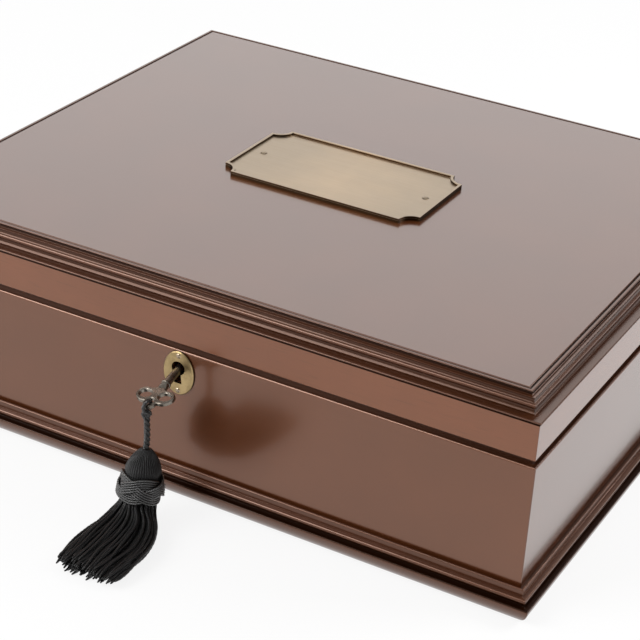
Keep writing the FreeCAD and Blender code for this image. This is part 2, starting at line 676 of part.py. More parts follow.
def lock_bolt():
    """Flat bolt: two hooks that point to -X, and a notch for the key's bit; placed for a level bit."""
    bridge = BOLT_TOP - BOLT_BRIDGE
    wing = BOLT_TOP - BOLT_WING_HEIGHT
    hook_top = HOOK_FOOT + HOOK_HEIGHT
    left_tip = -STAPLE_LEFT + STAPLE_THICKNESS / 2 + HOOK_GAP
    right_tip = STAPLE_RIGHT + STAPLE_THICKNESS / 2 + HOOK_GAP
    stem = right_tip + HOOK_LENGTH
    leg = BOLT_TALON_RIGHT + BOLT_LEG_WIDTH
    points = [
        (left_tip, HOOK_FOOT),
        (left_tip, hook_top),
        (-BOLT_WING_LEFT, hook_top),
        (-BOLT_WING_LEFT, BOLT_TOP),
        (leg, BOLT_TOP),
        (leg, BAR_TOP),
        (stem, BAR_TOP),
        (stem, HOOK_FOOT),
        (right_tip, HOOK_FOOT),
        (right_tip, hook_top),
        (stem + BOLT_STEM_WIDTH, hook_top),
        (stem + BOLT_STEM_WIDTH, BAR_FOOT),
        (BOLT_TALON_RIGHT, BAR_FOOT),
        (BOLT_TALON_RIGHT, bridge),
        (BOLT_TALON_LEFT, bridge),
        (BOLT_TALON_LEFT, wing),
        (-BOLT_WING_LEFT, wing),
        (-BOLT_WING_LEFT, HOOK_FOOT),
    ]
    front = LOCK_MID - BOLT_THICKNESS / 2
    pushed = -BOLT_TRAVEL * KEY_TILT / HALF_TURN
    return prism(points, lambda x, z: V(x + pushed, front, z), V(0, BOLT_THICKNESS, 0))


def bolt_spring():
    """Leaf spring bowed up at both ends, resting on the post in the case."""
    left = STAPLE_RIGHT - SPRING_SPAN / 2
    right = STAPLE_RIGHT + SPRING_SPAN / 2
    low = SPRING_SEAT + SPRING_BOW
    steps = [
        arc_to(right, low, SPRING_BOW),
        (right, low + SPRING_THICKNESS),
        arc_to(left, low + SPRING_THICKNESS, -SPRING_BOW),
    ]
    front = LOCK_MID - SPRING_WIDTH / 2
    face = outline((left, low), steps, lambda x, z: V(x, front, z))
    return face.extrude(V(0, SPRING_WIDTH, 0))


def bow():
    """Flat bow with two side eyes and a front ring, in the XY plane along -Y."""
    corners = [
        (BOW_NECK_SIDE, BOW_NECK_AT, 0),
        (BOW_SHOULDER_SIDE, BOW_SHOULDER_AT, BOW_SHOULDER_SWELL),
        (BOW_LOBE_SIDE, BOW_LOBE_AT, BOW_LOBE_SWELL),
        (BOW_CUSP_SIDE, BOW_CUSP_AT, BOW_CUSP_SWELL),
    ]
    steps = [arc_to(*corner) for corner in corners[1:]]
    ring_front = BOW_RING_AT + BOW_RING_HOLE + BOW_RING_BAR
    steps.append(arc_to(-BOW_CUSP_SIDE, BOW_CUSP_AT, ring_front - BOW_CUSP_AT))
    for here, there in zip(corners[:0:-1], corners[-2::-1]):
        steps.append(arc_to(-there[0], there[1], here[2]))
    face = outline(corners[0][:2], steps, lambda u, v: V(u, -v, -BOW_THICKNESS / 2))
    plate = face.extrude(V(0, 0, BOW_THICKNESS))
    tall = V(0, 0, 2 * BOW_THICKNESS)
    for side in (-1, 1):
        middle = V(side * BOW_EYE_SIDE, -BOW_EYE_AT, -BOW_THICKNESS)
        width = middle + V(BOW_EYE_HALF_WIDTH, 0, 0)
        length = middle + V(0, BOW_EYE_HALF_LENGTH, 0)
        oval = Part.Wire(Part.Ellipse(width, length, middle).toShape())
        plate = plate.cut(Part.Face(oval).extrude(tall))
    ring = V(0, -BOW_RING_AT, -BOW_THICKNESS)
    plate = plate.cut(rod(BOW_RING_HOLE, ring, ring + tall))
    flat = [e for e in plate.Edges if e.BoundBox.ZLength < BOW_EDGE]
    return plate.makeChamfer(BOW_EDGE, flat)


def key_neck(start):
    """Neck that goes from round at the collar to wide and flat inside the bow."""
    end = start - V(0, KEY_NECK_LENGTH, 0)
    round_end = Part.Circle(start, V(0, -1, 0), KEY_NECK_RADIUS)
    width = end + V(KEY_NECK_HALF_WIDTH, 0, 0)
    thickness = end + V(0, 0, KEY_NECK_HALF_THICKNESS)
    flat_end = Part.Ellipse(width, thickness, end)
    return Part.makeLoft([Part.Wire(round_end.toShape()), Part.Wire(flat_end.toShape())], True)


def key():
    """Key along its own axis, then turned to its tilt and hung at its droop."""
    bit_middle = (LOCK_MID - KEY_DATUM.y) / math.cos(DROOP)
    bit_back = bit_middle + KEY_BIT_WIDTH / 2
    half = KEY_BIT_THICKNESS / 2
    collar_end = V(0, -KEY_COLLAR_AT - KEY_COLLAR_WIDTH, 0)
    shank = rod(KEY_SHANK_RADIUS, V(0, bit_back + KEY_TIP, 0), collar_end)
    bit = box(V(0, bit_back - KEY_BIT_WIDTH, -half), V(KEY_BIT_REACH, bit_back, half))
    ward = box(
        V(KEY_BIT_REACH - KEY_WARD_DEPTH, bit_middle - KEY_WARD_WIDTH / 2, -half),
        V(KEY_BIT_REACH, bit_middle + KEY_WARD_WIDTH / 2, half),
    )
    collar = rod(KEY_COLLAR_RADIUS, V(0, -KEY_COLLAR_AT, 0), collar_end)
    rims = [e for e in collar.Edges if e.Closed]
    collar = collar.makeFillet(KEY_COLLAR_ROUND, rims)
    neck = key_neck(collar_end)
    solid = shank.fuse([bit.cut(ward), collar, neck, bow()]).removeSplitter()
    solid.rotate(V(0, 0, 0), V(0, 1, 0), -KEY_TILT)
    solid.rotate(V(0, 0, 0), V(1, 0, 0), KEY_DROOP)
    solid.translate(KEY_DATUM)
    return solid


def tassel_knot():
    half = KEY_AXIS * (KNOT_LENGTH / 2)
    barrel = rod(KNOT_RADIUS, KNOT - half, KNOT + half)
    return barrel.makeFillet(KNOT_ROUND, [e for e in barrel.Edges if e.Closed])


def tassel_loop():
    """Loop of cord round the bow's front ring, open where the knot closes it."""
    loop = Part.makeTorus(LOOP_RADIUS, LOOP_CORD_RADIUS, LOOP_MIDDLE, V(1, 0, 0))
    room = KEY_AXIS * FAR
    return loop.cut(rod(KNOT_RADIUS + KNOT_CLEAR, KNOT - room, KNOT + room))


def tassel_cord(grow=0.0):
    return rod(CORD_RADIUS + grow, KNOT, KNOT - V(0, 0, CORD_LENGTH + grow))


def turned(start, steps):
    """Solid turned about the tassel's leaning axis; points are (radius, way down)."""
    face = outline(start, steps, lambda radius, along: HEAD_TOP + HEAD_AXIS * along + V(radius, 0, 0))
    return face.revolve(HEAD_TOP, HEAD_AXIS, 360)


def tassel_head():
    steps = [
        (HEAD_NECK_RADIUS, 0),
        arc_to(HEAD_RADIUS, HEAD_SHOULDER, HEAD_SWELL),
        (HEAD_RADIUS, HEAD_LENGTH),
        (0, HEAD_LENGTH),
    ]
    return turned((0, 0), steps).cut(tassel_cord(CORD_FIT))


def tassel_collar():
    inner = HEAD_RADIUS + COLLAR_FIT
    end = COLLAR_START + COLLAR_LENGTH
    steps = [
        (COLLAR_END_RADIUS, COLLAR_START),
        arc_to(COLLAR_END_RADIUS, end, COLLAR_SWELL),
        (inner, end),
    ]
    return turned((inner, COLLAR_START), steps)


def skirt_ring(middle, half_width, half_height, pitch):
    """Oval section of the skirt whose threads run at a pitch forward from straight down."""
    lean = math.radians(pitch)
    rise = V(0, -math.cos(lean), math.sin(lean))
    oval = Part.Ellipse(middle + V(half_width, 0, 0), middle + rise * half_height, middle)
    return Part.Wire(oval.toShape())


def tassel_skirt():
    """Fan of threads: round at the collar, then bent forward and flattened on the table."""
    root = HEAD_TOP + HEAD_AXIS * (HEAD_LENGTH + SKIRT_GAP)
    rings = [skirt_ring(root, HEAD_RADIUS, HEAD_RADIUS - SKIRT_ROOT_FLATTEN, HEAD_LEAN)]
    for across, forward, half_width, half_height, pitch in SKIRT_SECTIONS:
        height = SKIRT_FLOOR + half_height * math.sin(math.radians(pitch))
        middle = V(across, root.y - forward, height)
        rings.append(skirt_ring(middle, half_width, half_height, pitch))
    return Part.makeLoft(rings[::-1], True)


def save(name, shapes):
    solids = [solid for shape in shapes for solid in shape.Solids]
    whole = solids[0] if len(solids) == 1 else Part.makeCompound(solids)
    whole.exportStep("parts/" + name + ".step")
    print(f"{name:22s} {len(solids)} solids, {whole.Volume / 1000:9.3f} cm3")


def make_carcass(hinge_places):
    walls = base_walls()
    holes = lock_screws(SCREW_FIT) + escutcheon_pin_holes()
    holes += [lock_mortise(), keyhole(-HALF_DEPTH - PAST, LOCK_FRONT + PAST)]
    walls["front"] = walls["front"].cut(holes)
    for x in hinge_places.values():
        walls["back"] = walls["back"].cut([hinge_mortise(x, "base")] + hinge_screws(x, "base", SCREW_FIT))
    for side, piece in walls.items():
        save("base_" + side, [piece])
    for side, piece in plinth().items():
        save("plinth_" + side, [piece])
    save("floor_panel", [floor_panel()])
    save("floor_lining", [lining(FLOOR_TOP)])
    save("underside_felt", [underside_felt()])


def make_lid(hinge_places):
    rails = lid_rails()
    rails["front"] = rails["front"].cut([strike_block(STRIKE_FIT, FAR)] + strike_screws(SCREW_FIT))
    for x in hinge_places.values():
        rails["back"] = rails["back"].cut([hinge_mortise(x, "lid")] + hinge_screws(x, "lid", SCREW_FIT))
    for side, piece in rails.items():
        save("lid_" + side, [piece])
    save("lid_top", [lid_top().cut(nameplate_pin_holes())])
    save("lid_lining", [lining(LID_TOP_FOOT - LINING_THICKNESS)])
    save("nameplate", [nameplate().cut(nameplate_pin_holes())])
    save("nameplate_pins", nameplate_pins())


def make_hinges(hinge_places):
    for side, x in hinge_places.items():
        for leaf in ("base", "lid"):
            save("hinge_" + side + "_" + leaf + "_leaf", [hinge_leaf(x, leaf)])
        save("hinge_" + side + "_pin", [hinge_pin(x)])
    for leaf in ("base", "lid"):
        screws = [s for x in hinge_places.values() for s in hinge_screws(x, leaf)]
        save("hinge_screws_" + leaf, screws)


def make_lock():
    save("escutcheon", [escutcheon().cut(escutcheon_pin_holes())])
    save("escutcheon_pins", escutcheon_pins())
    save("lock_case", [lock_case()])
    save("lock_plate", [lock_plate()])
    save("lock_screws", lock_screws())
    save("lock_bolt", [lock_bolt()])
    save("bolt_spring", [bolt_spring()])
    save("strike_plate", [strike_plate()])
    save("strike_staples", strike_staples())
    save("strike_screws", strike_screws())


def make_key_and_tassel():
    save("key", [key()])
    save("tassel_loop", [tassel_loop()])
    save("tassel_knot", [tassel_knot()])
    save("tassel_cord", [tassel_cord().cut(tassel_knot())])
    save("tassel_head", [tassel_head()])
    save("tassel_collar", [tassel_collar()])
    save("tassel_skirt", [tassel_skirt()])


def main():
    os.makedirs("parts", exist_ok=True)
    hinge_middle = HALF_WIDTH - HINGE_FROM_END
    hinge_places = {"left": -hinge_middle, "right": hinge_middle}
    make_carcass(hinge_places)
    make_lid(hinge_places)
    make_hinges(hinge_places)
    make_lock()
    make_key_and_tassel()


main()
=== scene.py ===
import math
import bmesh
import bpy
import numpy as np
from mathutils import Matrix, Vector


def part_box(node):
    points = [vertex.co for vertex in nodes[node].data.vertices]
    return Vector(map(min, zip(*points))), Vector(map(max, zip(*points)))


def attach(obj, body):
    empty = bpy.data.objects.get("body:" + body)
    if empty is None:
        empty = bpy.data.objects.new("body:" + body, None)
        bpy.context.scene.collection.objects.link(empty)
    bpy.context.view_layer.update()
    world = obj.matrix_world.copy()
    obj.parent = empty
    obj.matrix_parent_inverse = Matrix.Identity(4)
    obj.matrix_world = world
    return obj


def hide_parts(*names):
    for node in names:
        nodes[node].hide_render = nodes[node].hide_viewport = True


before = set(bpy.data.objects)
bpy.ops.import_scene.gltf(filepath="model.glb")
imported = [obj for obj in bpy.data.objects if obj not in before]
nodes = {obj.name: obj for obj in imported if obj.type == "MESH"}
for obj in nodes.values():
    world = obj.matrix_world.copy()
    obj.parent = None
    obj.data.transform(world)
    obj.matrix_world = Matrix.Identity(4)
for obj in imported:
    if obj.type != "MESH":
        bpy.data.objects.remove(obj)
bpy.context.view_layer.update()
mm = 0.001  # sizes below are in millimetres, meshes in metres
rng = np.random.default_rng(7)
print("frame loaded:", len(nodes), "nodes")


# camera: place, turn, height and roll as solved from the box's own edges; focal length in pixels of the frame
camera = {"place": (399.66, -782.71, 498.24), "azimuth": 27.498, "elevation": 28.3996, "roll": 0.0630922,
          "focal": 1943.84, "frame": 640, "sensor": 36.0, "near": 0.05, "far": 200.0}


# matrix that puts an object at a place, with its own x, y and z along three directions
def posed(place, x, y, z):
    turned = np.eye(4)
    turned[:3, :3] = np.stack([x, y, z], 1)
    turned[:3, 3] = place
    return Matrix(turned.tolist())


def placeCamera():
    az, el = math.radians(camera["azimuth"]), math.radians(camera["elevation"])
    c, s = math.cos(camera["roll"]), math.sin(camera["roll"])
    back = np.array((math.sin(az) * math.cos(el), -math.cos(az) * math.cos(el), math.sin(el)))
    right = np.array((math.cos(az), math.sin(az), 0))
    up = np.cross(back, right)
    lens = bpy.data.cameras.new("viewCamera")
    lens.sensor_width = camera["sensor"]
    lens.lens = camera["focal"] / camera["frame"] * camera["sensor"]
    lens.clip_start, lens.clip_end = camera["near"], camera["far"]
    view = bpy.data.objects.new("viewCamera", lens)
    view.matrix_world = posed(np.array(camera["place"]) * mm, c * right + s * up, c * up - s * right, back)
    bpy.context.scene.collection.objects.link(view)
    bpy.context.scene.camera = view


placeCamera()
bpy.context.scene.view_settings.view_transform = "Standard"
print("camera placed")


# quads of a grid of points, rows by columns, and the row and column of each corner; either way may close
# on itself
def gridQuads(rows, cols, closeRows=False, closeCols=False):
    r, c = np.meshgrid(np.arange(rows - (not closeRows)), np.arange(cols - (not closeCols)), indexing="ij")
    nextR, nextC = (r + 1) % rows, (c + 1) % cols
    quads = np.stack([r * cols + c, r * cols + nextC, nextR * cols + nextC, nextR * cols + c], -1)
    steps = np.stack([np.stack([r, c], -1), np.stack([r, c + 1], -1), np.stack([r + 1, c + 1], -1),
                      np.stack([r + 1, c], -1)], -2)
    return quads.reshape(-1, 4), steps.reshape(-1, 4, 2)


# one mesh from points, quads and a few caps; uv holds a pair for each corner of the quads
def makePiece(name, points, quads, caps, finish, body, slot, replaces, uv=None, sharp=None):
    mesh = bpy.data.meshes.new(name)
    faces = quads.tolist() + [list(cap) for cap in caps]
    mesh.from_pydata((points.reshape(-1, 3) * mm).tolist(), [], faces)
    if uv is not None:
        flat = np.zeros((len(mesh.loops), 2), np.float32)
        flat[:uv.size // 2] = uv.reshape(-1, 2)
        mesh.uv_layers.new(name="along").data.foreach_set("uv", flat.ravel())
    shell = bmesh.new()
    shell.from_mesh(mesh)
    bmesh.ops.recalc_face_normals(shell, faces=shell.faces)
    shell.to_mesh(mesh)
    shell.free()
    mesh.shade_smooth()
    if sharp:
        mesh.set_sharp_from_angle(angle=math.radians(sharp))
    piece = bpy.data.objects.new(name, mesh)
    bpy.context.scene.collection.objects.link(piece)
    for each in finish if isinstance(finish, list) else [finish]:
        mesh.materials.append(each)
    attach(piece, body)
    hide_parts(*replaces)
    return piece


# line of a profile: a straight step adds its end, a bent one an arc that stands off its chord by the swell
def profileLine(start, steps, bend):
    line = [np.array([start], float)]
    for step in steps:
        here, there = line[-1][-1], np.array(step[:2], float)
        if len(step) == 2:
            line.append(there[None])
            continue
        length = np.hypot(*(there - here))
        along = (there - here) / length
        out = np.array([along[1], -along[0]]) * np.sign(step[2])
        half = 2 * np.arctan(2 * abs(step[2]) / length)
        radius = length / 2 / np.sin(half)
        turn = np.linspace(-half, half, bend + 1)[1:, None]
        middle = (here + there) / 2 - out * radius * np.cos(half)
        line.append(middle + radius * (along * np.sin(turn) + out * np.cos(turn)))
    return np.concatenate(line)


def unit(v):
    return v / np.maximum(np.linalg.norm(v, axis=-1, keepdims=True), 1e-9)


# tubes along paths (count, steps, 3): each path point carries a ring square to the path, and the ring dips
# between its plies, which turn once round in each pitch of the path's length; thin narrows it along the way
def tubes(paths, beside, made, thin=None):
    sides, dent = made["sides"], made["dent"]
    along = unit(np.gradient(paths, axis=1))
    side = unit(np.cross(along, np.broadcast_to(beside, paths.shape)))
    up = np.cross(side, along)
    steps = np.linalg.norm(np.diff(paths, axis=1), axis=2)
    run = np.concatenate([np.zeros((len(paths), 1)), np.cumsum(steps, 1)], 1)
    turn = 2 * np.pi * np.arange(sides) / sides
    phase = made["plies"] / 2 * (turn - 2 * np.pi * run[..., None] / made["pitch"])
    size = made["cord"] * (1 - dent + dent * np.abs(np.cos(phase)))
    if thin is not None:
        size *= thin[..., None]
    ring = side[:, :, None] * np.cos(turn)[:, None] + up[:, :, None] * np.sin(turn)[:, None]
    points = paths[:, :, None] + ring * size[..., None]
    count, length = paths.shape[:2]
    quads, places = gridQuads(length, sides, closeCols=True)
    first = (np.arange(count) * length * sides)[:, None, None]
    uv = np.stack([np.broadcast_to(places[..., 1] / sides, (count,) + places.shape[:2]),
                   run[:, places[..., 0]]], -1)
    ends = np.concatenate([np.arange(sides)[None], (length - 1) * sides + np.arange(sides)[None]])
    caps = (np.arange(count)[:, None, None] * length * sides + ends).reshape(-1, sides)
    return points.reshape(-1, 3), (quads + first).reshape(-1, 4), caps.tolist(), uv.reshape(-1, 4, 2)


# shader helpers: a node with its sockets set or linked, then sums, colour ramps, mixes and noise made of it
def addNode(tree, kind, sockets=None, **settings):
    node = tree.nodes.new(kind)
    for name, value in settings.items():
        setattr(node, name, value)
    for name, value in (sockets or {}).items():
        if isinstance(value, bpy.types.NodeSocket):
            tree.links.new(value, node.inputs[name])
        else:
            node.inputs[name].default_value = value
    return node


def addMath(tree, operation, *values, clamp=False):
    sockets = dict(enumerate(values))
    return addNode(tree, "ShaderNodeMath", sockets, operation=operation, use_clamp=clamp).outputs[0]


def addRamp(tree, source, stops):
    node = addNode(tree, "ShaderNodeValToRGB", {"Fac": source})
    points = node.color_ramp.elements
    for count, (place, tone) in enumerate(stops):
        point = points[count] if count < 2 else points.new(place)
        point.position = place
        point.color = tuple(tone) + (1,) if hasattr(tone, "__len__") else (tone, tone, tone, 1)
    return node.outputs["Color"]


def addMix(tree, share, first, second, blend="MIX"):
    sockets = {0: share, 6: first, 7: second}
    return addNode(tree, "ShaderNodeMix", sockets, data_type="RGBA", blend_type=blend).outputs[2]


def addNoise(tree, where, scale, detail=3.0, stretch=(1, 1, 1), rough=0.5):
    mapped = addNode(tree, "ShaderNodeMapping", {"Vector": where, "Scale": stretch}).outputs[0]
    return addNode(tree, "ShaderNodeTexNoise", {"Vector": mapped, "Scale": scale, "Detail": detail,
                                                "Roughness": rough}).outputs["Fac"]


# ramp across the middle of a noise, where most of its values lie
noiseSpan = (0.3, 0.7)


def addSpan(tree, noise, low, high):
    return addRamp(tree, noise, list(zip(noiseSpan, (low, high))))


def addBump(tree, shader, height, strength, distance):
    bump = addNode(tree, "ShaderNodeBump", {"Height": height, "Strength": strength, "Distance": distance})
    tree.links.new(bump.outputs[0], shader.inputs["Normal"])


def newFinish(name, sockets):
    finish = bpy.data.materials.new(name)
    finish.use_nodes = True
    tree = finish.node_tree
    shader = tree.nodes["Principled BSDF"]
    for socket, value in sockets.items():
        shader.inputs[socket].default_value = value
    where = tree.nodes.new("ShaderNodeTexCoord").outputs["Object"]
    return finish, tree, shader, where


def rgb(*tone):
    return tone + (1,)


# grey levels by place along one axis of the object, in millimetres
def alongAxis(tree, where, axis, stops):
    low, high = stops[0][0], stops[-1][0]
    place = addNode(tree, "ShaderNodeSeparateXYZ", {0: where}).outputs[axis]
    level = addNode(tree, "ShaderNodeMapRange", {"Value": place, "From Min": low * mm, "From Max": high * mm})
    return addRamp(tree, level.outputs[0], [((at - low) / (high - low), share) for at, share in stops])


# lacquered wood: long fibres, short dark pores and cloudy stain along one axis, under a clear coat; painted
# shade darkens the grooves, corners and the rim under the lid, told by their height, and weakens the coat and
# gleam there too. The stain's level is the cloud plus a share of the fibre, all times the share of the stain
wood = {"tones": ((0.067, 0.0185, 0.0054), (0.073, 0.0203, 0.0060), (0.080, 0.0224, 0.0067)),
        "stainStops": (0.36, 0.5, 0.64), "fibreShare": 0.12, "stainShare": 0.89,
        "fibreAlong": 22.0, "fibreAcross": 620.0, "poreAlong": 70.0, "poreAcross": 1500.0, "cloud": 26.0,
        "pores": [(0.28, 0.82), (0.40, 1.0)], "rough": 0.27, "ior": 1.6, "coatRough": 0.14, "coatIor": 1.5}

# factor on the tones: the lid rails lighter than the walls, and the mouldings darker, a painted shade for the
# dark that their hollows and dim reflections give them; gloss: weight of the coat, strength of the gleam
# beneath it, and that gleam's tint
toneFactor = {"wall": 1.0, "rail": 1.65, "mould": 0.7}
# painted reflection: the one lacquer takes its own coat and gleam on the front and back walls, the side
# walls, the top and the mouldings, paler on the side walls and darker on the mouldings
glossSet = {"wall": (0.66, 0.98, rgb(1.0, 0.53, 0.35)), "side": (1.0, 0.80, rgb(1.0, 0.62, 0.48)),
            "mould": (0.48, 0.62, rgb(1.0, 0.53, 0.35)), "top": (0.94, 0.54, rgb(1.0, 0.68, 0.57))}

# painted shade: heights in millimetres with the share of the wood's tone and gloss that is left there, less
# in the grooves, corners and under the lid where shade falls
rimPaintedShade = [(70.0, 1.0), (73.75, 1.0), (73.95, 0.45), (76.0, 0.25), (76.2, 0.25), (76.4, 1.0)]
railPaintedShade = [(76.2, 0.4), (76.5, 1.0), (93.2, 1.0), (93.4, 0.3), (94.6, 0.3)]
plinthPaintedShade = [(0.0, 1.0), (8.2, 1.0), (8.6, 0.2), (9.7, 0.2), (10.2, 1.0), (15.6, 1.0)]
lidPaintedShade = [(94.6, 0.4), (94.9, 0.9), (95.2, 0.9), (95.6, 0.55), (97.3, 0.6), (97.6, 1.0), (99.5, 1.0),
            (99.9, 0.55), (101.6, 0.6), (101.8, 1.0), (101.95, 1.0), (102.1, 0.3), (103.42, 0.15),
            (103.5, 1.0), (103.7, 1.0)]


def woodFinish(name, axis, depth, gloss, paintedShade):
    coat, gleam, tint = glossSet[gloss]
    finish, tree, shader, where = newFinish(name, {
        "Roughness": wood["rough"], "IOR": wood["ior"], "Specular Tint": tint,
        "Coat Roughness": wood["coatRough"], "Coat IOR": wood["coatIor"]})
    fibreStretch = [wood["fibreAcross"]] * 3
    fibreStretch[axis] = wood["fibreAlong"]
    poreStretch = [wood["poreAcross"]] * 3
    poreStretch[axis] = wood["poreAlong"]
    fibre = addNoise(tree, where, 1.0, detail=4.0, stretch=fibreStretch)
    pore = addNoise(tree, where, 1.0, detail=2.0, stretch=poreStretch)
    cloud = addNoise(tree, where, wood["cloud"])
    both = addMath(tree, "MULTIPLY_ADD", fibre, wood["fibreShare"], cloud)
    level = addMath(tree, "MULTIPLY", both, wood["stainShare"])
    stain = addRamp(tree, level, list(zip(wood["stainStops"], np.array(wood["tones"]) * depth)))
    # painted shade by height: darkens the tone, the coat and the gleam where the tables say
    unshadedShare = alongAxis(tree, where, 2, paintedShade)
    tone = addMix(tree, 1.0, stain, addRamp(tree, pore, wood["pores"]), "MULTIPLY")
    tree.links.new(addMix(tree, 1.0, tone, unshadedShare, "MULTIPLY"), shader.inputs["Base Color"])
    tree.links.new(addMath(tree, "MULTIPLY", unshadedShare, coat), shader.inputs["Coat Weight"])
    tree.links.new(addMath(tree, "MULTIPLY", unshadedShare, gleam), shader.inputs["Specular IOR Level"])
    return finish


# the same wood with its grain along x and along y, for the sides that run that way, each way with its own
# coat and gleam, a painted reflection
def bothWays(kind, depth, glossX, glossY, paintedShade):
    return [woodFinish(kind + "AlongX", 0, depth, glossX, paintedShade),
            woodFinish(kind + "AlongY", 1, depth, glossY, paintedShade)]


walnut = bothWays("walnut", toneFactor["wall"], "wall", "side", rimPaintedShade)
topWood = woodFinish("topAlongX", 0, toneFactor["wall"], "top", rimPaintedShade)
railWood = bothWays("rail", toneFactor["rail"], "wall", "side", railPaintedShade)
plinthWood = bothWays("plinth", toneFactor["mould"], "mould", "mould", plinthPaintedShade)
lidWood = bothWays("lid", toneFactor["mould"], "mould", "mould", lidPaintedShade)


# plywood of the floor panel: paler, dry, with wide soft figure
def plywoodFinish():
    finish, tree, shader, where = newFinish("plywood", {"Roughness": 0.6})
    figure = addNoise(tree, where, 1.0, stretch=(9.0, 160.0, 160.0))
    tone = addSpan(tree, figure, (0.21, 0.105, 0.05), (0.34, 0.19, 0.10))
    tree.links.new(tone, shader.inputs["Base Color"])
    return finish


plywood = plywoodFinish()

# metal: a warm or grey tone, cloudy tarnish, and fine scratches along one axis; a piece may be brighter in
# the middle of its length and darker toward its ends, and a painted shade darkens its walls, told by their
# place along one axis
metal = {"dullAt": 0.35, "brightAt": 0.62, "paintedWallShade": rgb(0.042, 0.022, 0.010), "scratchDeep": 0.0001}
# painted shade on the nameplate's outer and rim walls and on the escutcheon's sides toward the wood: place
# along one axis with the share of clean metal left there
plateWalls = (2, [(103.7, 0.0), (104.95, 0.0), (104.98, 1.0), (105.02, 1.0), (105.05, 0.0), (105.8, 0.0),
                  (105.95, 1.0), (106.1, 1.0)])
ovalWalls = (1, [(-148.2, 1.0), (-147.85, 1.0), (-147.7, 0.1), (-147.0, 0.0)])


def metalFinish(name, bright, dull, rough, spread, brush=(900.0, 900.0, 900.0), cloud=160.0, depth=0.04,
                brightMiddle=0.0, paintedWallShade=None):
    finish, tree, shader, where = newFinish(name, {"Metallic": 1.0})
    tarnish = addNoise(tree, where, cloud, detail=4.0, rough=0.6)
    scratch = addNoise(tree, where, 1.0, detail=2.0, stretch=brush)
    dullAt = metal["dullAt"]
    if brightMiddle:
        dullAt = 0.0
        across = addNode(tree, "ShaderNodeSeparateXYZ", {0: where}).outputs[0]
        away = addMath(tree, "ABSOLUTE", across)
        tarnish = addMath(tree, "MULTIPLY_ADD", away, -metal["brightAt"] / brightMiddle, tarnish)
    tone = addRamp(tree, tarnish, [(dullAt, dull), (metal["brightAt"], bright)])
    # painted shade on the walls
    if paintedWallShade:
        tone = addMix(tree, alongAxis(tree, where, *paintedWallShade), metal["paintedWallShade"], tone)
    matt = addSpan(tree, scratch, rough - spread, rough + spread)
    tree.links.new(tone, shader.inputs["Base Color"])
    tree.links.new(matt, shader.inputs["Roughness"])
    addBump(tree, shader, scratch, depth, metal["scratchDeep"])
    return finish


antiqueBrass = metalFinish("antiqueBrass", (0.50, 0.385, 0.270), (0.40, 0.322, 0.240), rough=0.40,
                           spread=0.05, brush=(40.0, 2600.0, 900.0), cloud=24.0, brightMiddle=0.05,
                           paintedWallShade=plateWalls)
pinBrass = metalFinish("pinBrass", (0.46, 0.36, 0.25), (0.30, 0.24, 0.18), rough=0.30, spread=0.05)
agedBrass = metalFinish("agedBrass", (0.47, 0.345, 0.175), (0.31, 0.225, 0.110), rough=0.32, spread=0.05,
                        paintedWallShade=ovalWalls)
polishedBrass = metalFinish("polishedBrass", (0.50, 0.385, 0.215), (0.45, 0.345, 0.190), rough=0.36,
                            spread=0.015, cloud=70.0, depth=0.01)
lockSteel = metalFinish("lockSteel", (0.60, 0.60, 0.58), (0.48, 0.48, 0.47), rough=0.34, spread=0.06,
                        brush=(60.0, 2200.0, 2200.0))
pewter = metalFinish("pewter", (0.27, 0.240, 0.205), (0.12, 0.104, 0.085), rough=0.27, spread=0.015,
                     cloud=140.0, depth=0.01)

# velvet and felt: short pile as a fine mottled nap, brushed this way and that, with sheen in its own tint
nap = {"rough": 0.95, "sheenRough": 0.4, "tint": 6, "specular": 0.1, "brushed": 30.0,
       "brushedStops": (0.35, 0.65), "bump": 0.5, "deep": 0.0004}


def napFinish(name, low, high, sheen, scale):
    finish, tree, shader, where = newFinish(name, {
        "Roughness": nap["rough"], "Sheen Weight": sheen, "Sheen Roughness": nap["sheenRough"],
        "Sheen Tint": rgb(*(min(1, nap["tint"] * t) for t in high)), "Specular IOR Level": nap["specular"]})
    pile = addNoise(tree, where, scale, detail=4.0, rough=0.7)
    brushed = addNoise(tree, where, nap["brushed"], detail=2.0)
    tone = addMix(tree, 0.5, addSpan(tree, pile, low, high),
                  addRamp(tree, brushed, list(zip(nap["brushedStops"], (low, high)))))
    tree.links.new(tone, shader.inputs["Base Color"])
    addBump(tree, shader, pile, nap["bump"], nap["deep"])
    return finish


velvet = napFinish("velvet", (0.060, 0.006, 0.009), (0.120, 0.014, 0.018), sheen=0.6, scale=1800.0)
felt = napFinish("felt", (0.010, 0.012, 0.010), (0.026, 0.030, 0.026), sheen=0.2, scale=1200.0)

# rayon thread: near black with a soft grey sheen, and fine filaments that slant across the thread's own map
thread = {"sheen": 0.05, "sheenRough": 0.35, "coatRough": 0.22, "slant": 0.5, "stretch": (5.0, 2.2, 1.0),
          "filament": {"Scale": 2.0, "Distortion": 1.5, "Detail": 2.0}, "drift": 240.0, "driftLow": 0.7,
          "fineStops": (0.1, 0.9), "bump": 0.35, "deep": 0.0002}


